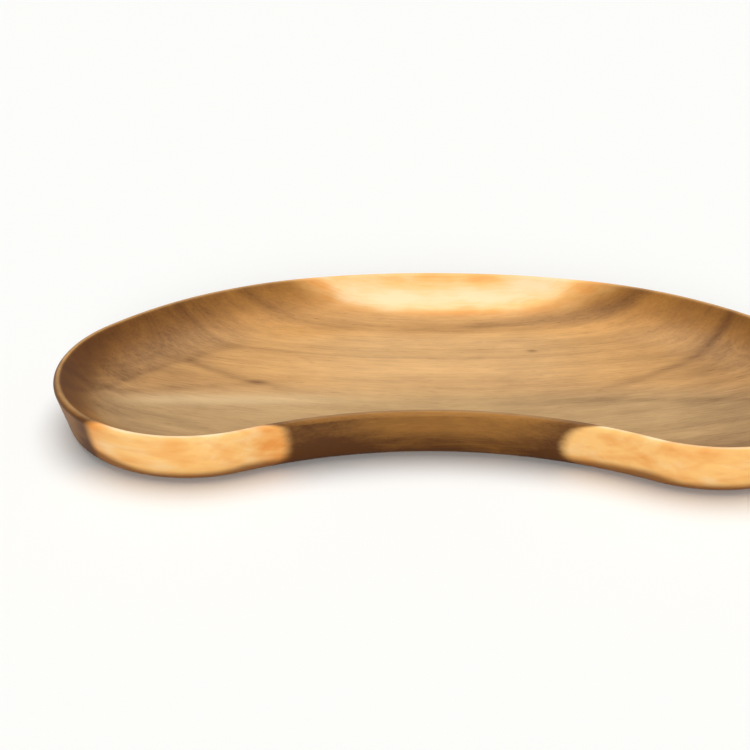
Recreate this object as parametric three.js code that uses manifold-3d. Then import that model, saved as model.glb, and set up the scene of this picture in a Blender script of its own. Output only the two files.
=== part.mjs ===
// Kidney-shaped serving platter, carved from an edge-glued panel of wooden staves.
// Millimetres, +Z up. The staves run along X, the scooped edge faces -Y, and the base lies on z = 0
// with the middle of the outline over the origin.
import * as THREE from "three";
import { mergeVertices } from "three/addons/utils/BufferGeometryUtils.js";
import Module from "manifold-3d";

// Outline, seen from above: a waist arc, two lobes, two shoulders and a back arc, each tangent to the next.
const platterLength = 356; // from tip to tip
const lobeRadius = 65;
const waistRadius = 190;
const backRadius = 323;
const shoulderSpacing = 69; // between the centres of the two shoulder arcs
const shoulderAngle = THREE.MathUtils.degToRad(38.5); // where a lobe turns into its shoulder
const outlineSkew = THREE.MathUtils.degToRad(2.35); // the outline was sawn this far askew of the staves

// Section through the wall: a round bottom edge, a flared wall, a round rim and a cove down to the floor.
const platterHeight = 25;
const rimThickness = 4;
const wallFlare = THREE.MathUtils.degToRad(15);
const bottomRound = 7;
const floorThickness = 9;
const coveRadius = 40;

// Panel: the first joint runs in front of the waist, which so cuts the front stave in two. The other staves
// share the width behind it, with a film of glue in every joint.
const frontJointLead = 4.5; // from the waist's edge forward to the first joint
const glueThickness = 0.2;

// Facets
const outlineStep = 7; // longest chord along the outline
const bottomSteps = 5;
const rimSteps = 4; // on either side of the crest
const coveSteps = 9;

const wasm = await Module();
wasm.setup();

// Finishes: pale sapwood in front, three shades of heartwood behind it, and dried glue.
const woodFinish = (color) => new THREE.MeshStandardMaterial({ color, roughness: 0.45, metalness: 0 });
const staves = [
  { name: "front_stave", finish: woodFinish(0xe8b172) },
  { name: "waist_stave", finish: woodFinish(0xb38f65) },
  { name: "middle_stave", finish: woodFinish(0xbd9160) },
  { name: "back_stave", finish: woodFinish(0xc79a63) },
];
const glueLines = ["front_glue_line", "middle_glue_line", "back_glue_line"];
const glueFinish = new THREE.MeshStandardMaterial({ color: 0x7d5530, roughness: 0.5, metalness: 0 });

// The outline's arcs, counter-clockwise from the waist. A convex arc shrinks as the outline is inset,
// and the hollow waist arc grows.
function outlineArcs() {
  const lobeX = platterLength / 2 - lobeRadius;
  const shoulderX = shoulderSpacing / 2;
  const shoulderRadius = lobeRadius + (lobeX - shoulderX) / Math.cos(shoulderAngle);
  const shoulderY = (lobeRadius - shoulderRadius) * Math.sin(shoulderAngle);
  const backY = shoulderY - Math.sqrt((backRadius - shoulderRadius) ** 2 - shoulderX ** 2);
  const waistY = -Math.sqrt((waistRadius + lobeRadius) ** 2 - lobeX ** 2);
  const backAngle = Math.atan2(shoulderY - backY, shoulderX);
  const waistAngle = Math.atan2(-waistY, lobeX);

  const arc = (x, y, radius, from, to, bulge) => ({
    centre: new THREE.Vector2(x, y).rotateAround(new THREE.Vector2(), -outlineSkew),
    radius,
    from: from - outlineSkew,
    to: to - outlineSkew,
    bulge,
    steps: Math.ceil((radius * Math.abs(to - from)) / outlineStep),
  });
  return [
    arc(0, waistY, waistRadius, Math.PI - waistAngle, waistAngle, -1),
    arc(lobeX, 0, lobeRadius, waistAngle - Math.PI, shoulderAngle, 1),
    arc(shoulderX, shoulderY, shoulderRadius, shoulderAngle, backAngle, 1),
    arc(0, backY, backRadius, backAngle, Math.PI - backAngle, 1),
    arc(-shoulderX, shoulderY, shoulderRadius, Math.PI - backAngle, Math.PI - shoulderAngle, 1),
    arc(-lobeX, 0, lobeRadius, Math.PI - shoulderAngle, 2 * Math.PI - waistAngle, 1),
  ];
}

// Points of the outline drawn in by `inset`, at height z.
function outlineAt(arcs, inset, z) {
  return arcs.flatMap(({ centre, radius, from, to, bulge, steps }) =>
    Array.from({ length: steps }, (_, i) => {
      const angle = THREE.MathUtils.lerp(from, to, i / steps);
      const reach = radius - bulge * inset;
      return new THREE.Vector3(centre.x + reach * Math.cos(angle), centre.y + reach * Math.sin(angle), z);
    }),
  );
}

// The wall's section as { inset, z } points, from the edge of the base over the rim to the edge of the floor.
function wallSection() {
  const rimRadius = rimThickness / 2;
  const rimZ = platterHeight - rimRadius;
  // The bottom round touches the base and the flared line that is tangent to the rim.
  const bottomInset =
    rimRadius + (bottomRound - rimRadius + (rimZ - bottomRound) * Math.sin(wallFlare)) / Math.cos(wallFlare);
  // The cove touches the floor and the inner side of the rim.
  const coveZ = floorThickness + coveRadius;
  const coveReach = Math.sqrt((coveRadius + rimRadius) ** 2 - (coveZ - rimZ) ** 2);
  const coveInset = rimRadius + coveReach;
  const coveAngle = Math.atan2(coveZ - rimZ, coveReach);

  const round = (inset, z, radius, from, to, steps) =>
    Array.from({ length: steps + 1 }, (_, i) => {
      const angle = THREE.MathUtils.lerp(from, to, i / steps);
      return { inset: inset - radius * Math.cos(angle), z: z + radius * Math.sin(angle) };
    });
  return [
    ...round(bottomInset, bottomRound, bottomRound, -Math.PI / 2, -wallFlare, bottomSteps),
    ...round(rimRadius, rimZ, rimRadius, -wallFlare, Math.PI / 2, rimSteps),
    ...round(rimRadius, rimZ, rimRadius, Math.PI / 2, Math.PI - coveAngle, rimSteps).slice(1),
    ...round(coveInset, coveZ, coveRadius, -coveAngle, -Math.PI / 2, coveSteps).slice(1),
  ];
}

// A closed loft through rings of equal length: the first ring is capped below and the last one above.
function loft(rings) {
  const count = rings[0].length;
  const index = [];
  for (let ring = 0; ring + 1 < rings.length; ring++) {
    for (let i = 0; i < count; i++) {
      const a = ring * count + i;
      const b = ring * count + ((i + 1) % count);
      index.push(a, b, b + count, a, b + count, a + count);
    }
  }
  const cap = (ring) => THREE.ShapeUtils.triangulateShape(ring.map((p) => new THREE.Vector2(p.x, p.y)), []);
  cap(rings[0]).forEach(([a, b, c]) => index.push(c, b, a));
  const top = (rings.length - 1) * count;
  cap(rings.at(-1)).forEach(([a, b, c]) => index.push(top + a, top + b, top + c));
  return new THREE.BufferGeometry().setFromPoints(rings.flat()).setIndex(index);
}

function solidFrom(geometry) {
  const bare = geometry.clone().deleteAttribute("normal").deleteAttribute("uv");
  const merged = mergeVertices(bare, 1e-4);
  return new wasm.Manifold(
    new wasm.Mesh({
      numProp: 3,
      vertProperties: merged.attributes.position.array,
      triVerts: new Uint32Array(merged.index.array),
    }),
  );
}

function geometryFrom(solid) {
  const { vertProperties, triVerts } = solid.getMesh();
  const geometry = new THREE.BufferGeometry();
  geometry.setAttribute("position", new THREE.BufferAttribute(vertProperties, 3));
  geometry.setIndex(new THREE.BufferAttribute(triVerts, 1));
  geometry.computeVertexNormals();
  return geometry;
}

// The part of the carved panel that lies between two planes across Y.
function sliceBetween(carved, extent, fromY, toY) {
  const size = extent.getSize(new THREE.Vector3());
  const slab = new THREE.BoxGeometry(2 * size.x, toY - fromY, 4 * size.z).translate(0, (fromY + toY) / 2, 0);
  return carved.intersect(solidFrom(slab));
}

// One mesh for each body of a slice: the waist cuts the front slices in two.
function addPieces(platter, slice, name, finish) {
  const bodies = slice.decompose().map(geometryFrom);
  bodies.forEach((geometry) => geometry.computeBoundingBox());
  bodies.sort((a, b) => a.boundingBox.min.x - b.boundingBox.min.x);
  bodies.forEach((geometry, i) => {
    const mesh = new THREE.Mesh(geometry, finish);
    mesh.name = bodies.length === 1 ? name : `${name}_${["left", "right"][i]}`;
    platter.add(mesh);
  });
}

const arcs = outlineArcs();
const middle = new THREE.Box3().setFromPoints(outlineAt(arcs, 0, 0)).getCenter(new THREE.Vector3());
const rings = wallSection().map(({ inset, z }) => outlineAt(arcs, inset, z).map((point) => point.sub(middle)));
const extent = new THREE.Box3().setFromPoints(rings.flat());
const carved = solidFrom(loft(rings));

const [waist] = arcs;
const frontJoint = waist.centre.y + waist.radius - middle.y - frontJointLead;
const staveWidth = (extent.max.y - frontJoint) / (staves.length - 1);
const joints = glueLines.map((_, i) => frontJoint + i * staveWidth);
const nearSides = [2 * extent.min.y, ...joints.map((y) => y + glueThickness / 2)];
const farSides = [...joints.map((y) => y - glueThickness / 2), 2 * extent.max.y];

const platter = new THREE.Group();
staves.forEach(({ name, finish }, i) => {
  addPieces(platter, sliceBetween(carved, extent, nearSides[i], farSides[i]), name, finish);
});
glueLines.forEach((name, i) => {
  addPieces(platter, sliceBetween(carved, extent, farSides[i], nearSides[i + 1]), name, glueFinish);
});

export default platter;
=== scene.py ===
import math
from functools import partial

import bpy
from mathutils import Matrix, Vector


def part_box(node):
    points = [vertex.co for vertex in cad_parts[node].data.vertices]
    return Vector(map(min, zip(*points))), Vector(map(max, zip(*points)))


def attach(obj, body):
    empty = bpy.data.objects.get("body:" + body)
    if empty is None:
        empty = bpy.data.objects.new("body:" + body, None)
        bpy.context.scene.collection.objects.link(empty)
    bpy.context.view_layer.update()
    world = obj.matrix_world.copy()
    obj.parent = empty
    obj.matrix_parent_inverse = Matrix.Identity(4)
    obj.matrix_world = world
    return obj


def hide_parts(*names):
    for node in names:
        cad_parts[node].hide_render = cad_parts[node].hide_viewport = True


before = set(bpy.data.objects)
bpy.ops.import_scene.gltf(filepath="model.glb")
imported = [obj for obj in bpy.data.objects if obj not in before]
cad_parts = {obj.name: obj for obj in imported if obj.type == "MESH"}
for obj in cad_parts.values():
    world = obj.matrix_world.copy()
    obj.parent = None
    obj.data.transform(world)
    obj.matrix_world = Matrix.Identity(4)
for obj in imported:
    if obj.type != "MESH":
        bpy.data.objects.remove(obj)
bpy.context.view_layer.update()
mm = 0.001  # the part is measured in millimetres, the scene in metres


class Wire:  # a node's output socket that can be used in expressions
    def __init__(self, socket):
        self.socket = socket

    @staticmethod
    def node(tree, kind, settings=None, values=None, out=0):
        made = tree.nodes.new(kind)
        for name, value in (settings or {}).items():
            setattr(made, name, value)
        for name, value in (values or {}).items():
            for item in value if isinstance(value, list) else [value]:
                if isinstance(item, Wire):
                    tree.links.new(item.socket, made.inputs[name])
                else:
                    made.inputs[name].default_value = item
        return Wire(made.outputs[out]) if made.outputs else made

    def pick(self, out):  # another output of the same node
        return Wire(self.socket.node.outputs[out])

    def calc(self, operation, *terms):
        tree = self.socket.id_data
        return Wire.node(tree, "ShaderNodeMath", {"operation": operation}, dict(enumerate(terms)))

    def __add__(self, other):
        return self.calc("ADD", self, other)

    def __sub__(self, other):
        return self.calc("SUBTRACT", self, other)

    def __rsub__(self, other):
        return self.calc("SUBTRACT", other, self)

    def __mul__(self, other):
        return self.calc("MULTIPLY", self, other)

    def __truediv__(self, other):
        return self.calc("DIVIDE", self, other)

    def __rtruediv__(self, other):
        return self.calc("DIVIDE", other, self)

    def __pow__(self, other):
        return self.calc("POWER", self, other)

    def __rpow__(self, other):
        return self.calc("POWER", other, self)

    def __neg__(self):
        return self * -1

    __radd__ = __add__
    __rmul__ = __mul__


def linear(red, green, blue):  # a colour as seen on a screen, 0 to 255, as the shaders take it
    parts = [c / 255 for c in (red, green, blue)]
    return tuple(c / 12.92 if c <= 0.04045 else ((c + 0.055) / 1.055) ** 2.4 for c in parts) + (1,)


# The camera stands where the photograph was taken from.
photoView = {
    "azimuth": 1.604,  # degrees
    "elevation": 28.243,
    "roll": -0.845,
    "distance": 709.1 * mm,
    "target": Vector((-34.3, 23.24, 0)) * mm,
    "lens": 70.73,
    "sensor": 36,
}


def makeCamera(view):
    turn, rise, roll = (math.radians(view[k]) for k in ("azimuth", "elevation", "roll"))
    back = Vector((math.sin(turn) * math.cos(rise), -math.cos(turn) * math.cos(rise), math.sin(rise)))
    right = Vector((0, 0, 1)).cross(back).normalized()
    up = back.cross(right)
    axes = Matrix((right, up, back)).transposed() @ Matrix.Rotation(roll, 3, "Z")
    lens = bpy.data.cameras.new("photoCamera")
    lens.lens = view["lens"]
    lens.sensor_width = view["sensor"]
    camera = bpy.data.objects.new("photoCamera", lens)
    camera.matrix_world = Matrix.Translation(view["target"] + view["distance"] * back) @ axes.to_4x4()
    bpy.context.scene.collection.objects.link(camera)
    bpy.context.scene.camera = camera
    print("camera at", [round(c, 3) for c in camera.location])


makeCamera(photoView)


# The kidney outline: waist, lobe, shoulder, back, shoulder and lobe, arcs that run into each other.
outline = {
    "length": 356 * mm,
    "lobeRadius": 65 * mm,
    "waistRadius": 190 * mm,
    "backRadius": 323 * mm,
    "shoulderSpacing": 69 * mm,
    "shoulderAngle": 38.5,  # degrees
    "skew": 2.35,
    "step": 1.5 * mm,  # longest chord
}


def outlinePoints(shape):
    lobe, waist, back = shape["lobeRadius"], shape["waistRadius"], shape["backRadius"]
    turn, skew = math.radians(shape["shoulderAngle"]), math.radians(shape["skew"])
    lobeX = shape["length"] / 2 - lobe
    sideX = shape["shoulderSpacing"] / 2
    side = lobe + (lobeX - sideX) / math.cos(turn)
    sideY = (lobe - side) * math.sin(turn)
    backY = sideY - math.sqrt((back - side) ** 2 - sideX**2)
    waistY = -math.sqrt((waist + lobe) ** 2 - lobeX**2)
    backTurn = math.atan2(sideY - backY, sideX)
    waistTurn = math.atan2(-waistY, lobeX)
    arcs = [  # centre, radius, first and last angle
        (0, waistY, waist, math.pi - waistTurn, waistTurn),
        (lobeX, 0, lobe, waistTurn - math.pi, turn),
        (sideX, sideY, side, turn, backTurn),
        (0, backY, back, backTurn, math.pi - backTurn),
        (-sideX, sideY, side, math.pi - backTurn, math.pi - turn),
        (-lobeX, 0, lobe, math.pi - turn, 2 * math.pi - waistTurn),
    ]
    points = []
    for x, y, radius, first, last in arcs:
        steps = math.ceil(radius * abs(last - first) / shape["step"])
        for i in range(steps):
            angle = first + (last - first) * i / steps
            points.append(Vector((x + radius * math.cos(angle), y + radius * math.sin(angle), 0)))
    turned = [Matrix.Rotation(-skew, 3, "Z") @ p for p in points]
    low = Vector(min(p[i] for p in turned) for i in range(3))
    high = Vector(max(p[i] for p in turned) for i in range(3))
    return [p - (low + high) / 2 for p in turned]


def outlineCurve(shape):
    points = outlinePoints(shape)
    curve = bpy.data.curves.new("outline", "CURVE")
    curve.dimensions = "3D"
    spline = curve.splines.new("POLY")
    spline.points.add(len(points) - 1)
    for slot, point in zip(spline.points, points):
        slot.co = (*point, 1)
    spline.use_cyclic_u = True
    print("outline of", len(points), "points")
    return curve


# The board is swept round the outline by Geometry Nodes, sanded and sawn to one stave.
section = {
    "Height": 25 * mm,
    "Rim Thickness": 4 * mm,
    "Wall Flare": math.radians(15),
    "Bottom Round": 7 * mm,
    "Floor Thickness": 9 * mm,
    "Cove Radius": 40 * mm,
    "Hand Finish": 0.12 * mm,  # how far sanding by hand strayed
}
carving = {
    "bottomPoints": 12,  # along each arc of the section
    "rimPoints": 17,
    "covePoints": 24,
    "weld": 0.002 * mm,
    "handWaves": 22,  # to a metre
    "sawClearance": 10 * mm,  # how far a cut reaches past the wood
    "sharpEdge": math.radians(32),  # edges sharper than this stay crisp
    "flatFace": -0.999,  # a face that looks down further than this stays flat
}


class StaveTree:  # the nodes that carve the board and saw one stave from it
    def __init__(self):
        self.tree = bpy.data.node_groups.new("carvedStave", "GeometryNodeTree")
        self.add = partial(Wire.node, self.tree)
        inputs = {"Outline": "Geometry", **dict.fromkeys(section, "Float")}
        inputs |= {"Low Corner": "Vector", "High Corner": "Vector", "Finish": "Material"}
        for name, kind in inputs.items():
            self.tree.interface.new_socket(name, in_out="INPUT", socket_type="NodeSocket" + kind)
        self.tree.interface.new_socket("Stave", in_out="OUTPUT", socket_type="NodeSocketGeometry")
        self.given = self.add("NodeGroupInput")
        self.normal = self.add("GeometryNodeInputNormal")
        stave = self.sawn(self.sanded(self.swept()))
        self.add("NodeGroupOutput", values={"Stave": self.dressed(stave)})

    def spot(self, across, up):
        return self.add("ShaderNodeCombineXYZ", values={"X": across, "Y": up})

    def arc(self, across, up, radius, start, sweep, points):
        sizes = {"Resolution": points, "Radius": radius, "Start Angle": start, "Sweep Angle": sweep}
        bend = self.add("GeometryNodeCurveArc", {"mode": "RADIUS"}, sizes)
        return self.moved(bend, self.spot(across, up))

    def moved(self, geometry, way):
        return self.add("GeometryNodeTransform", values={"Geometry": geometry, "Translation": way})

    def profile(self):  # the wall's section, and how far the base and the floor lie inside the outline
        pick = self.given.pick
        flare, bottom, cove = pick("Wall Flare"), pick("Bottom Round"), pick("Cove Radius")
        rim = pick("Rim Thickness") * 0.5
        rimZ = pick("Height") - rim
        # the bottom round touches the base and the flared wall, the cove touches the rim and the floor
        drawnIn = bottom - rim + (rimZ - bottom) * flare.calc("SINE", flare)
        bottomInset = rim + drawnIn / flare.calc("COSINE", flare)
        coveZ = pick("Floor Thickness") + cove
        coveReach = ((cove + rim) ** 2 - (coveZ - rimZ) ** 2) ** 0.5
        coveInset = rim + coveReach
        coveTurn = coveReach.calc("ARCTAN2", coveZ - rimZ, coveReach)
        wallTurn = math.pi + flare
        cosine, sine = flare.calc("COSINE", wallTurn), flare.calc("SINE", wallTurn)
        wallFoot = self.spot(bottomInset + bottom * cosine, bottom + bottom * sine)
        wallHead = self.spot(rim + rim * cosine, rimZ + rim * sine)
        down = 1.5 * math.pi
        coveStart = coveTurn + math.pi
        parts = [
            self.arc(bottomInset, bottom, bottom, down, wallTurn - down, carving["bottomPoints"]),
            self.add("GeometryNodeCurvePrimitiveLine", values={"Start": wallFoot, "End": wallHead}),
            self.arc(rim, rimZ, rim, wallTurn, coveTurn - wallTurn, carving["rimPoints"]),
            self.arc(coveInset, coveZ, cove, coveStart, down - coveStart, carving["covePoints"]),
        ]
        return self.add("GeometryNodeJoinGeometry", values={"Geometry": parts}), bottomInset, coveInset

    def swept(self):
        profile, bottomInset, coveInset = self.profile()
        path = {"Curve": self.given.pick("Outline")}
        level = self.add("GeometryNodeSetCurveNormal", {"mode": "Z_UP"}, path)
        upright = self.add("GeometryNodeSetCurveTilt", values={"Curve": level, "Tilt": math.pi})
        wall = self.add("GeometryNodeCurveToMesh", values={"Curve": upright, "Profile Curve": profile})
        wall = self.add("GeometryNodeFlipFaces", values={"Mesh": wall})
        base = self.add("GeometryNodeFlipFaces", values={"Mesh": self.cap(bottomInset)})
        lift = self.add("ShaderNodeCombineXYZ", values={"Z": self.given.pick("Floor Thickness")})
        top = self.moved(self.cap(coveInset), lift)
        whole = self.add("GeometryNodeJoinGeometry", values={"Geometry": [wall, base, top]})
        values = {"Geometry": whole, "Distance": carving["weld"]}
        return self.add("GeometryNodeMergeByDistance", values=values)

    def cap(self, inset):  # a flat face inside the outline
        tangent = self.add("GeometryNodeInputTangent")
        inward = self.add("ShaderNodeVectorMath", {"operation": "CROSS_PRODUCT"}, {0: (0, 0, 1), 1: tangent})
        shift = self.add("ShaderNodeVectorMath", {"operation": "SCALE"}, {0: inward, "Scale": inset})
        values = {"Geometry": self.given.pick("Outline"), "Offset": shift}
        drawnIn = self.add("GeometryNodeSetPosition", values=values)
        return self.add("GeometryNodeFillCurve", {"mode": "TRIANGLES"}, {"Curve": drawnIn})

    def sanded(self, board):  # sanding by hand leaves faint waves everywhere but on the base
        place = self.add("GeometryNodeInputPosition")
        values = {"Vector": place, "Scale": carving["handWaves"], "Detail": 1}
        waves = self.add("ShaderNodeTexNoise", values=values)
        height = self.add("ShaderNodeSeparateXYZ", values={"Vector": place}, out="Z")
        reached = height.calc("GREATER_THAN", height, self.given.pick("Bottom Round") * 0.5)
        stray = (waves - 0.5) * 2 * self.given.pick("Hand Finish") * reached
        push = self.add("ShaderNodeVectorMath", {"operation": "SCALE"}, {0: self.normal, "Scale": stray})
        return self.add("GeometryNodeSetPosition", values={"Geometry": board, "Offset": push})

    def sawn(self, board):  # keeps what lies between two corners
        low, high = self.given.pick("Low Corner"), self.given.pick("High Corner")
        size = self.add("ShaderNodeVectorMath", {"operation": "SUBTRACT"}, {0: high, 1: low})
        middle = self.add("ShaderNodeMix", {"data_type": "VECTOR"}, {0: 0.5, 4: low, 5: high}, out=1)
        block = self.add("GeometryNodeMeshCube", values={"Size": size})
        both = [board, self.moved(block, middle)]
        settings = {"operation": "INTERSECT", "solver": "MANIFOLD"}
        return self.add("GeometryNodeMeshBoolean", settings, {"Mesh 2": both})

    def dressed(self, stave):
        bend = self.add("GeometryNodeInputMeshEdgeAngle")
        softEdge = bend.calc("LESS_THAN", bend, carving["sharpEdge"])
        up = self.add("ShaderNodeSeparateXYZ", values={"Vector": self.normal}, out="Z")
        roundFace = up.calc("GREATER_THAN", up, carving["flatFace"])
        for domain, smooth in (("FACE", roundFace), ("EDGE", softEdge)):
            values = {"Geometry": stave, "Shade Smooth": smooth}
            stave = self.add("GeometryNodeSetShadeSmooth", {"domain": domain}, values)
        solid = self.add("GeometryNodeRealizeInstances", values={"Geometry": stave})
        values = {"Geometry": solid, "Material": self.given.pick("Finish")}
        return self.add("GeometryNodeSetMaterial", values=values)


def makeStave(tree, curve, node, finish, openSide):
    low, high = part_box(node)
    clearance = carving["sawClearance"]
    low -= Vector((clearance, 0, clearance))
    high += Vector((clearance, 0, clearance))
    if openSide == "front":
        low.y -= clearance
    if openSide == "back":
        high.y += clearance
    rough = bpy.data.objects.new(node + "_rough", curve)
    bpy.context.scene.collection.objects.link(rough)
    nodes = rough.modifiers.new("carve", "NODES")
    nodes.node_group = tree
    values = {**section, "Low Corner": low, "High Corner": high, "Finish": finish}
    for item in tree.interface.items_tree:
        if item.in_out == "INPUT" and item.name in values:
            nodes[item.identifier] = values[item.name]
    shaped = rough.evaluated_get(bpy.context.evaluated_depsgraph_get())
    mesh = bpy.data.meshes.new_from_object(shaped)
    bpy.data.objects.remove(rough)
    piece = bpy.data.objects.new(node + "_carved", mesh)
    bpy.context.scene.collection.objects.link(piece)
    print(node, "has", len(mesh.polygons), "faces")
    return piece


# Wood: one log's figure runs on through all the staves. Lengths are in millimetres.
wood = {
    "light": linear(239, 189, 126),  # sanded floor
    "grey": linear(220, 180, 124),  # straight grain towards the waist
    "warm": linear(240, 169, 76),  # slopes and the outer wall
    "dark": linear(86, 48, 10),  # late wood
    "sapwood": linear(251, 197, 119),
    "sapPale": linear(250, 221, 173),
    "sapDeep": linear(236, 156, 74),
    "footShade": linear(120, 70, 26),  # painted shade: a dark margin along the bottom edge
    "seam": 0,  # how much darker than the wood beside it
    "roughness": 0.5,
    "fibreRoughness": 0.12,
    "poreRoughness": 0.15,
    "gloss": 0.2,
    "relief": 0.25,
    "reliefDepth": 0.1 * mm,
    "fibreRelief": 0.5,
}
log = {
    "coreX": 2.6,  # the core runs above the board and sweeps back towards both ends
    "coreY": -2.4,
    "coreZ": 27.7,
    "coreSweep": 0.0013,
    "frontSpread": 3,  # rings are this much wider in front of the core
    "backHalf": (0, 6),  # where the wood behind the core begins
    "wander": 3,  # how far the rings stray, over a long way and over a short one
    "ripple": 1.2,
    "broadRings": (7, 2),  # width and detail of the tones from ring to ring
    "fineRings": (1.1, 3),
}
cells = {  # each noise: length along the grain, width across it and detail
    "wander": (90, 60, 1),
    "ripple": (45, 12, 2),
    "fray": (9, 2.2, 2),
    "longFibre": (24, 0.9, 3),
    "shortFibre": (7, 1, 2),
    "streak": (150, 5, 2),
    "mottle": (22, 9, 2),
    "pore": (6, 0.4, 1),
}
fibres = {
    "long": 0.7,  # shares of the two lengths
    "short": 0.5,
    "openPore": (0.14, 0.24),  # noise at which a pore opens
}
cuts = {  # how far up a face looks, or how high it lies, where each begins and where it is complete
    "levelFace": (0.66, 1),
    "aboveFloor": (13, 21),
    "crestFace": (0.86, 1),
    "crestHeight": (20, 23),
    "innerFace": (-0.1, 0.3),
    "baseFace": (-0.93, -1),
    # the painted shade low on the outer wall fades out between these heights
    "aboveFootShade": (3, 18),
}


class Grain:  # places in the wood, and the few shapes that its figure is made of
    def __init__(self, tree):
        self.add = partial(Wire.node, tree)
        place = self.add("ShaderNodeTexCoord", out="Object")
        spot = self.add("ShaderNodeVectorMath", {"operation": "SCALE"}, {0: place, "Scale": 1 / mm})
        self.x = self.add("ShaderNodeSeparateXYZ", values={"Vector": spot})
        self.y, self.z = self.x.pick("Y"), self.x.pick("Z")
        self.far = self.x.calc("ABSOLUTE", self.x)
        normal = self.add("ShaderNodeNewGeometry", out="Normal")
        facing = self.add("ShaderNodeSeparateXYZ", values={"Vector": normal})
        self.up = facing.pick("Z")
        self.endGrain = facing.calc("ABSOLUTE", facing)
        self.layRings()
        self.layFibres()
        self.findCuts()

    def mix(self, factor, a, b):
        return self.add("ShaderNodeMix", {"data_type": "RGBA"}, {0: factor, 6: a, 7: b}, out=2)

    def step(self, value, start, end):  # 0 at the start and 1 at the end
        ends = {"Value": value, "From Min": start, "From Max": end}
        return self.add("ShaderNodeMapRange", {"interpolation_type": "SMOOTHSTEP"}, ends)

    def line(self, value, width):  # 1 where the value is 0, fading over the width
        return math.e ** -((value / width) ** 2)

    def noise(self, name):
        along, over, detail = cells[name]
        cell = (1 / along, 1 / over, 1 / over)
        fit = self.add("ShaderNodeVectorMath", {"operation": "MULTIPLY"}, {0: self.flow, 1: cell})
        return self.add("ShaderNodeTexNoise", values={"Vector": fit, "Scale": 1, "Detail": detail}) - 0.5

    def ringNoise(self, width, detail):
        values = {"W": self.ring, "Scale": 1 / width, "Detail": detail}
        return self.add("ShaderNodeTexNoise", {"noise_dimensions": "1D"}, values) - 0.5

    def layRings(self):  # distance from the log's core, which no tree keeps quite straight
        along = self.x - log["coreX"]
        across = self.y - log["coreY"] - log["coreSweep"] * along * along
        self.flow = self.add("ShaderNodeCombineXYZ", values={"X": self.x, "Y": across, "Z": self.z})
        self.behind = self.step(across, *log["backHalf"])
        self.wander = self.noise("wander")
        self.ripple = self.noise("ripple")
        spread = across.calc("MAXIMUM", across, across / log["frontSpread"])
        rise = self.z - log["coreZ"]
        straight = (spread * spread + rise * rise) ** 0.5
        self.ring = straight + self.wander * log["wander"] + self.ripple * log["ripple"]
        self.broad = self.ringNoise(*log["broadRings"])
        self.lines = self.ringNoise(*log["fineRings"])

    def layFibres(self):
        self.fibre = self.noise("longFibre") * fibres["long"] + self.noise("shortFibre") * fibres["short"]
        self.streak = self.noise("streak")
        self.mottle = self.noise("mottle")
        self.pore = self.step(self.noise("pore"), *fibres["openPore"])

    def findCuts(self):  # what a surface shows of the grain depends on how it is cut; the foot also carries painted shade, and the crest a painted highlight
        self.floor = self.step(self.up, *cuts["levelFace"]) * (1 - self.step(self.z, *cuts["aboveFloor"]))
        # the crest is lighter from wear, with a painted highlight
        self.crest = self.step(self.up, *cuts["crestFace"]) * self.step(self.z, *cuts["crestHeight"])
        self.outside = 1 - self.step(self.up, *cuts["innerFace"])
        self.base = self.step(self.up, *cuts["baseFace"])
        # painted shade low on the outer wall
        self.footShade = self.outside * (1 - self.step(self.z, *cuts["aboveFootShade"]))

    def blend(self, shares):  # the named parts of the figure, each with its share
        return sum(getattr(self, name) * share for name, share in shares.items())


# Where the log's sapwood begins. A fade is where a change begins and where it is complete, along x
# unless a note says otherwise.
sapEdge = {
    "ripple": 1.6,  # how far the edge frays
    "fray": 2,
    "backRing": 71.5,
    "backTilt": 0.03,  # nearer the core towards the right
    "backEdge": (-5, 3),  # where the pale wood fades in, on either side of that ring
    "leftDelay": 3.5,  # further out at the left
    "leftFade": (-45, -90),
    "leftBlur": 0.7,  # the edge is softer towards both ends
    "leftBlurFade": (-10, -60),
    "rightBlur": 0.6,
    "rightBlurFade": (40, 65),
}
lobeEdge = {
    "y": -58.2,
    "edge": (-1.1, 1.1),  # on either side of that line
    "fray": 0.3,
    "slant": 0.22,  # further forward with height
    "bowHeight": 9,  # the edge bows round this height, and more so on the right lobe
    "leftBow": 0.0045,
    "rightBow": 0.012,
    "bowFade": (-20, 20),
    "leftEnd": 1.9,  # further back at the left end
    "leftEndFade": (-150, -85),
    "dent": 1,  # further forward about dentX
    "dentX": -70,
    "dentLength": 40,
    "leftBlur": 1.2,  # softer at the left end
    "leftBlurFade": (-110, -150),
}


class Sapwood:  # the pale wood at the back of the log, and at its front in both lobes
    def __init__(self, grain):
        x, step, line = grain.x, grain.step, grain.line
        fray = grain.ripple * sapEdge["ripple"] + grain.noise("fray") * sapEdge["fray"]
        delay = sapEdge["leftDelay"] * step(x, *sapEdge["leftFade"])
        self.backEdge = grain.ring - sapEdge["backRing"] + fray + sapEdge["backTilt"] * x - delay
        blur = 1 + sapEdge["leftBlur"] * step(x, *sapEdge["leftBlurFade"])
        blur = blur + sapEdge["rightBlur"] * step(x, *sapEdge["rightBlurFade"])
        self.back = step(self.backEdge / blur, *sapEdge["backEdge"])

        leftBow, rightBow = lobeEdge["leftBow"], lobeEdge["rightBow"]
        bow = leftBow + (rightBow - leftBow) * step(x, *lobeEdge["bowFade"])
        lean = lobeEdge["slant"] * grain.z + bow * (grain.z - lobeEdge["bowHeight"]) ** 2
        lean = lean + lobeEdge["leftEnd"] * step(x, *lobeEdge["leftEndFade"])
        lean = lean + lobeEdge["dent"] * line(x - lobeEdge["dentX"], lobeEdge["dentLength"])
        self.frontEdge = lobeEdge["y"] - grain.y - lean + fray * lobeEdge["fray"]
        blur = 1 + lobeEdge["leftBlur"] * step(x, *lobeEdge["leftBlurFade"])
        self.front = step(self.frontEdge / blur, *lobeEdge["edge"])
        self.all = self.back.calc("MAXIMUM", self.back, self.front)
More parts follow.
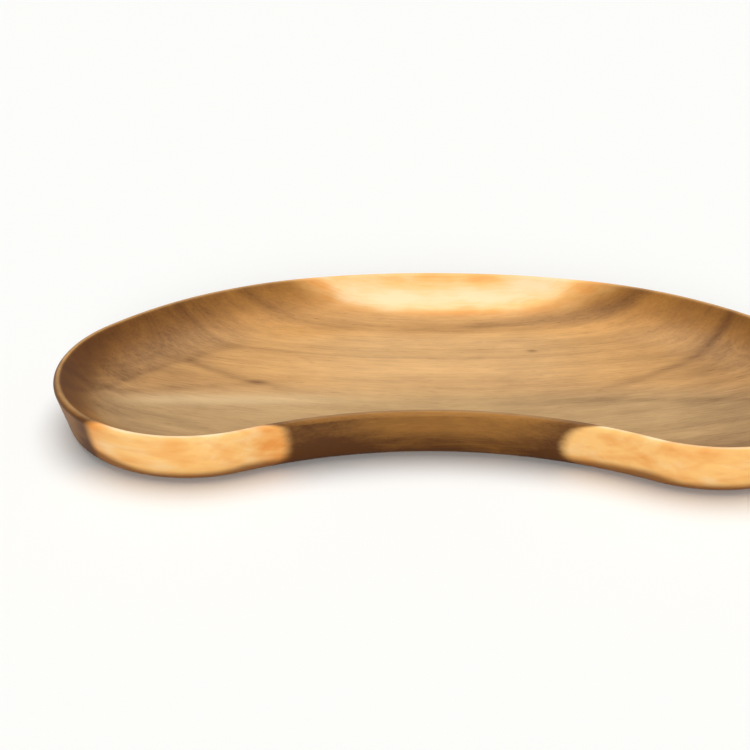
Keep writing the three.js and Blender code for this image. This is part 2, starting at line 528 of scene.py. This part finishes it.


# Marks that the carving lays open in the heartwood, with painted sheen and shade among them, and how each
# changes the tone.
ringMarks = {  # bands along a ring behind the core
    "smile": {"ring": 31.5, "width": 1.8, "fade": (90, 40), "tone": -0.13},
    "paleBand": {"ring": 52, "width": 3.5, "fade": (60, 90), "tone": 0.14},
    "leftBand": {"ring": 67, "width": 4, "fade": (-75, -95), "tone": -0.22},
}
backBand = {  # runs below the back sapwood and strays from its ring
    "ring": 60.3,
    "width": 4.4,
    "swell": 2.7,  # further out about swellX
    "swellX": 30,
    "swellLength": 25,
    "rightDrop": 4.5,  # nearer the core towards both ends
    "rightFade": (50, 95),
    "leftDrop": 2,
    "leftFade": (-30, -60),
    "tone": -0.18,
    "rightTone": -0.12,  # added towards the right
    "toneFade": (-40, 25),
}
streaks = {  # straight lines along the grain, y is where each crosses the middle
    "leftStreak": {"y": 8.6, "slope": 0.12, "bend": 0.4, "width": 3, "fade": (-60, -90), "tone": -0.12},
    "rightStreak": {"y": -17.7, "slope": 0, "bend": 0, "width": 2.2, "fade": (40, 70), "tone": -0.1},
}
cup = {  # a line that bows back towards both ends
    "x": -4,
    "y": -26,
    "bow": 0.0034,
    "width": 3.6,
    "fade": (45, 120),  # away from the middle, to either side
    "tone": -0.24,
}
arch = {  # a line round the left end, with darker wood outside it
    "x": -100,
    "y": 37,
    "fall": 0.42,  # forward from there to the left, ever more steeply
    "bow": 0.0069,
    "width": 3,
    "fade": (-85, -120),
    "outside": (-4, 4),
    "tone": -0.08,
    "overCup": (-3, 3),  # the cup's line ends below the arch
    "cupFade": (-100, -120),
}
areas = {  # darker parts of the floor
    "leftBack": {"fadeX": (-90, -140), "fadeY": (-10, 4), "tone": -0.1},
    "right": {"fadeX": (90, 125), "fadeY": (36, 12), "tone": -0.09},
}
patches = {  # soft spots
    "rightShade": {"x": 58, "length": 40, "y": -15, "width": 14, "tone": -0.18},
    "backShade": {"x": 80, "length": 40, "y": 30, "width": 20, "tone": -0.08},
    "middleGleam": {"x": -22, "length": 60, "y": 14, "width": 10, "tone": 0.1},
    "rightFleck": {"x": 41.3, "length": 2.5, "y": 30.7, "width": 1.5, "tone": -0.35},
    "leftFleck": {"x": -88, "length": 5, "y": 0, "width": 2.2, "tone": -0.2},
}
paintedWaistShading = {  # painted shade on the outer wall of the waist beside the left lobe, and lighter in its middle
    "left": {"x": -50, "length": 18, "tone": -0.1},
    "middle": {"x": 25, "length": 14, "tone": 0.06},
}
waist = {
    "fade": (-30, -50),  # along y
    "marginWidth": 8,  # beside the pale lobes
    "marginTone": -0.22,
}
sheenStreak = {  # painted sheen in a streak on the left half of the floor
    "y": -17,
    "bend": 0.3,
    "width": 5,
    "fade": (-20, -90),
    "end": (-160, -125),  # it ends on the left slope
    "tone": 0.072,
    "colour": 0.252,
}
wave = {"wander": 7, "ripple": 4}  # how far the lines on the floor stray


def ringTone(grain):
    step, line = grain.step, grain.line
    ring = backBand["ring"] + backBand["swell"] * line(grain.x - backBand["swellX"], backBand["swellLength"])
    ring = ring - backBand["rightDrop"] * step(grain.x, *backBand["rightFade"])
    ring = ring - backBand["leftDrop"] * step(grain.x, *backBand["leftFade"])
    depth = backBand["tone"] + backBand["rightTone"] * step(grain.x, *backBand["toneFade"])
    tone = line(grain.ring - ring, backBand["width"]) * depth
    for mark in ringMarks.values():
        band = line(grain.ring - mark["ring"], mark["width"])
        tone = tone + band * step(grain.x, *mark["fade"]) * mark["tone"]
    return tone * grain.behind


def floorTone(grain):
    x, y, step, line = grain.x, grain.y, grain.step, grain.line
    bend = grain.blend(wave)
    left = arch["x"] - x
    archLine = y - arch["y"] + arch["fall"] * left + arch["bow"] * left * left + bend
    shade = line(archLine, arch["width"]) + step(archLine, *arch["outside"])
    tone = shade * arch["tone"] * step(x, *arch["fade"])
    below = 1 - step(archLine, *arch["overCup"]) * step(x, *arch["cupFade"])
    cupLine = y - cup["y"] - cup["bow"] * (x - cup["x"]) ** 2 + bend
    tone = tone + line(cupLine, cup["width"]) * step(grain.far, *cup["fade"]) * below * cup["tone"]
    for mark in streaks.values():
        path = y - mark["y"] - mark["slope"] * x + mark["bend"] * bend
        tone = tone + line(path, mark["width"]) * step(x, *mark["fade"]) * mark["tone"]
    for mark in areas.values():
        tone = tone + step(x, *mark["fadeX"]) * step(y, *mark["fadeY"]) * mark["tone"]
    for mark in patches.values():
        spot = line(x - mark["x"], mark["length"]) * line(y - mark["y"], mark["width"])
        tone = tone + spot * mark["tone"]
    return tone


def sheenStreakMask(grain):
    path = grain.y - sheenStreak["y"] + sheenStreak["bend"] * grain.blend(wave)
    ends = grain.step(grain.x, *sheenStreak["fade"]) * grain.step(grain.x, *sheenStreak["end"])
    return grain.line(path, sheenStreak["width"]) * ends


def waistTone(grain, sapwood):
    front = grain.step(grain.y, *waist["fade"])
    margin = grain.line(sapwood.frontEdge, waist["marginWidth"]) * waist["marginTone"]
    # painted shade on the waist wall
    spots = sum(grain.line(grain.x - p["x"], p["length"]) * p["tone"] for p in paintedWaistShading.values())
    return (margin + spots * grain.outside) * front


# Heartwood: a tone of 0 is late wood, and 1 is the full colour of a surface.
heartCut = {"floor": 0.28, "outside": -0.06, "base": 0.25, "endGrain": -0.34}
heartFigure = {"broad": 0.2, "lines": 0.1, "streak": 0.26, "fibre": 0.38, "mottle": 0.3, "pore": -0.15}
heartwood = {
    "tone": 0.4,
    # wear with a painted highlight along the crest
    "backCrest": 0.2,
    "backCrestFade": (-40, 0),  # along y
    "outerEndGrain": 0.18,  # end grain is less dark on the outer wall
    # painted shade low on the outer wall
    "footShade": -0.25,
    "floorEnds": -0.17,
    "floorEndsFade": (60, 150),  # away from the middle
    "endFibre": -0.2,  # end grain shows less fibre
    "slopeFigure": 0.6,  # share of the figure that shows off the floor
    "greyFade": (-4, -22),  # along y
    "backWarmth": 0.35,
    "backWarmthFade": (40, 56),  # along y
    "endWarmth": 0.3,
    "endWarmthFar": (30, 90),  # away from the middle
    "endWarmthFade": (-14, 4),  # along y
    # wear with a painted highlight: the crest takes the light colour
    "crestLight": 0.7,
    "slopeDark": 0.68,  # slopes at both ends
    "slopeDarkFace": (0.35, 0.7),  # how far a face looks endwise
}


def heartTone(grain, sapwood, pale):
    step, endGrain, outside, floor = grain.step, grain.endGrain, grain.outside, grain.floor
    cut = heartwood["tone"] + grain.blend(heartCut) + heartwood["outerEndGrain"] * endGrain * outside
    cut = cut + heartwood["backCrest"] * grain.crest * step(grain.y, *heartwood["backCrestFade"])
    cut = cut + heartwood["footShade"] * grain.footShade * (1 - endGrain)
    cut = cut + heartwood["floorEnds"] * floor * step(grain.far, *heartwood["floorEndsFade"])
    figure = grain.blend(heartFigure) + heartwood["endFibre"] * grain.fibre * endGrain
    # pale carries the painted sheen on the left floor
    figure = figure + ringTone(grain) + floorTone(grain) + pale * sheenStreak["tone"]
    shown = heartwood["slopeFigure"] + (1 - heartwood["slopeFigure"]) * floor
    return cut + figure * shown + waistTone(grain, sapwood)


def heartColour(grain, sapwood, look):
    step, mix = grain.step, grain.mix
    # the painted sheen on the left half of the floor
    pale = sheenStreakMask(grain)
    tone = heartTone(grain, sapwood, pale) - look["seam"]
    colour = mix(step(grain.y, *heartwood["greyFade"]), look["light"], look["grey"])
    ends = step(grain.far, *heartwood["endWarmthFar"]) * step(grain.y, *heartwood["endWarmthFade"])
    back = step(grain.y, *heartwood["backWarmthFade"])
    warmth = back * heartwood["backWarmth"] + ends * heartwood["endWarmth"]
    level = grain.floor * (1 - warmth) + grain.crest * heartwood["crestLight"]
    colour = mix(level, look["warm"], colour)
    colour = mix(tone, look["dark"], colour)
    slope = step(grain.endGrain, *heartwood["slopeDarkFace"]) * (1 - grain.outside)
    colour = mix(slope * heartwood["slopeDark"], colour, look["dark"])
    # the painted sheen draws the floor towards the pale colour
    return mix(pale * sheenStreak["colour"], colour, look["sapPale"])


# Sapwood: pale cores, deeper streaks, amber where it meets the heartwood and painted shade in a dark margin
# at the foot.
palePart = {"mottle": 1.5, "streak": 0.8, "fibre": 0.8}
deepPart = {"streak": 1.2, "broad": 0.6, "mottle": -1.6, "lines": 0.5}
sapLook = {
    "coreRing": 78.5,  # palest along this ring
    "coreWidth": 5,
    "coreShift": 3,  # nearer the heartwood at the left
    "coreShiftFade": (-30, -55),
    "coreEnd": (-66, -50),
    "outerCore": 0.3,  # share of the core that shows on the outer wall
    "paleCore": 0.9,
    # wear with a painted highlight along the lobes' crest
    "paleCrest": 0.9,
    "deep": 0.16,
    "deepCore": -0.8,
    "backAmber": 0.3,
    "backAmberWidth": 5,
    "lobeAmber": 0.6,
    "lobeAmberStart": 1,
    "lobeAmberWidth": 4,
    "lobeAmberFade": (0, -40),
}
# painted shade in a dark margin along the bottom edge of the outer wall, with a fainter painted shade above
# it
footShadeMargin = {
    "colour": 0.87,  # at the bottom edge
    "top": (3, 7),  # height at which it clears
    "topShare": 0.75,
    "haze": (4, 11),
    "hazeShare": 0.12,
    "endwise": (0.2, 0.8),  # how far a face looks endwise
    "endRise": 5,  # the margin stands higher where the wall turns to the ends
    "endBlur": 1,
}


def footShadeShare(grain):
    endwise = grain.step(grain.endGrain, *footShadeMargin["endwise"])
    low, high = footShadeMargin["top"]
    top = grain.step(grain.z - endwise * footShadeMargin["endRise"], low, high + endwise * footShadeMargin["endBlur"])
    clear = top * footShadeMargin["topShare"] + grain.step(grain.z, *footShadeMargin["haze"]) * footShadeMargin["hazeShare"]
    return grain.outside * (footShadeMargin["colour"] - clear)


def sapColour(grain, sapwood, look):
    x, step, line, mix = grain.x, grain.step, grain.line, grain.mix
    coreLine = grain.ring - sapLook["coreRing"] + sapLook["coreShift"] * step(x, *sapLook["coreShiftFade"])
    core = line(coreLine, sapLook["coreWidth"]) * sapwood.back * step(x, *sapLook["coreEnd"])
    core = core * (1 - (1 - sapLook["outerCore"]) * grain.outside)
    crest = sapwood.front * grain.crest
    pale = core * sapLook["paleCore"] + crest * sapLook["paleCrest"] + grain.blend(palePart)
    amber = line(sapwood.backEdge, sapLook["backAmberWidth"]) * sapLook["backAmber"]
    lobeAmber = line(sapwood.frontEdge - sapLook["lobeAmberStart"], sapLook["lobeAmberWidth"])
    amber = amber + lobeAmber * sapLook["lobeAmber"] * step(x, *sapLook["lobeAmberFade"])
    deep = sapLook["deep"] + grain.blend(deepPart) + core * sapLook["deepCore"] + amber
    colour = mix(pale, look["sapwood"], look["sapPale"])
    colour = mix(deep, colour, look["sapDeep"])
    # the painted shade at the foot
    return mix(footShadeShare(grain), colour, look["footShade"])


def woodFinish(name, look):
    material = bpy.data.materials.new(name)
    material.use_nodes = True
    tree = material.node_tree
    tree.nodes.clear()
    grain = Grain(tree)
    sapwood = Sapwood(grain)
    colour = grain.mix(sapwood.all, heartColour(grain, sapwood, look), sapColour(grain, sapwood, look))
    rough = look["roughness"] + grain.fibre * look["fibreRoughness"] + grain.pore * look["poreRoughness"]
    texture = grain.fibre * look["fibreRelief"] - grain.pore
    values = {"Strength": look["relief"], "Distance": look["reliefDepth"], "Height": texture}
    relief = grain.add("ShaderNodeBump", values=values)
    values = {"Base Color": colour, "Roughness": rough, "Normal": relief}
    values["Specular IOR Level"] = look["gloss"]
    surface = grain.add("ShaderNodeBsdfPrincipled", values=values)
    grain.add("ShaderNodeOutputMaterial", values={"Surface": surface})
    print(name, "has", len(tree.nodes), "nodes")
    return material


finishes = {
    "sapwood": woodFinish("paleWood", wood),
    "heartwood": woodFinish("brownWood", wood),
    "glue": woodFinish("gluedSeam", {**wood, "seam": 0.025}),
}
staves = {  # the finish of each piece, and the side on which no cut bounds it
    "front_stave_left": ("sapwood", "front"),
    "front_stave_right": ("sapwood", "front"),
    "waist_stave": ("heartwood", None),
    "middle_stave": ("heartwood", None),
    "back_stave": ("heartwood", "back"),
    "front_glue_line_left": ("glue", None),
    "front_glue_line_right": ("glue", None),
    "middle_glue_line": ("glue", None),
    "back_glue_line": ("glue", None),
}
board = StaveTree().tree
edge = outlineCurve(outline)
for node, (slot, openSide) in staves.items():
    piece = makeStave(board, edge, node, finishes[slot], openSide)
    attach(piece, "root")
    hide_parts(node)


studio = {
    "lamps": {  # where each shines from, its spread in degrees and its power
        "softbox": (Vector((0, 0.17, 1)), 60, 2.5),  # overhead, a little behind the platter
        "reflector": (Vector((0, -1, 0.42)), 25, 1.5),  # low, on the camera's side
    },
    "sky": (1, 1, 1, 1),
    "skyLevel": 0.12,
    "backdrop": linear(250, 250, 248),
    "table": (0.9, 0.9, 0.88, 1),
    "tableSize": 8,
}


def makeLamp(name, towards, spread, power):
    lamp = bpy.data.lights.new(name, "SUN")
    lamp.angle = math.radians(spread)
    lamp.energy = power
    shining = bpy.data.objects.new(name, lamp)
    shining.rotation_euler = towards.to_track_quat("Z", "Y").to_euler()
    bpy.context.scene.collection.objects.link(shining)


def makeStudio(look):
    for name, lamp in look["lamps"].items():
        makeLamp(name, *lamp)

    world = bpy.data.worlds.new("studio")
    world.use_nodes = True
    bpy.context.scene.world = world
    world.node_tree.nodes.clear()
    add = partial(Wire.node, world.node_tree)
    path = add("ShaderNodeLightPath", out="Is Camera Ray")
    seen = path + path.pick("Is Glossy Ray") + path.pick("Is Transmission Ray")
    seen = seen.calc("MINIMUM", seen, 1)
    sky = add("ShaderNodeBackground", values={"Color": look["sky"], "Strength": look["skyLevel"]})
    backdrop = add("ShaderNodeBackground", values={"Color": look["backdrop"], "Strength": 1})
    shown = add("ShaderNodeMixShader", values={0: seen, 1: sky, 2: backdrop})
    add("ShaderNodeOutputWorld", values={"Surface": shown})
    print("studio lit by", *look["lamps"])


def makeTable(look):
    half = look["tableSize"] / 2
    mesh = bpy.data.meshes.new("table")
    corners = [(-half, -half, 0), (half, -half, 0), (half, half, 0), (-half, half, 0)]
    mesh.from_pydata(corners, [], [(0, 1, 2, 3)])
    table = bpy.data.objects.new("table", mesh)
    bpy.context.scene.collection.objects.link(table)
    material = bpy.data.materials.new("whiteTable")
    material.use_nodes = True
    material.node_tree.nodes.clear()
    add = partial(Wire.node, material.node_tree)
    matt = add("ShaderNodeBsdfDiffuse", values={"Color": look["table"]})
    add("ShaderNodeOutputMaterial", values={"Surface": matt})
    mesh.materials.append(material)
    print("table laid")


makeStudio(studio)
makeTable(studio)

bpy.context.scene.view_settings.view_transform = "Standard"
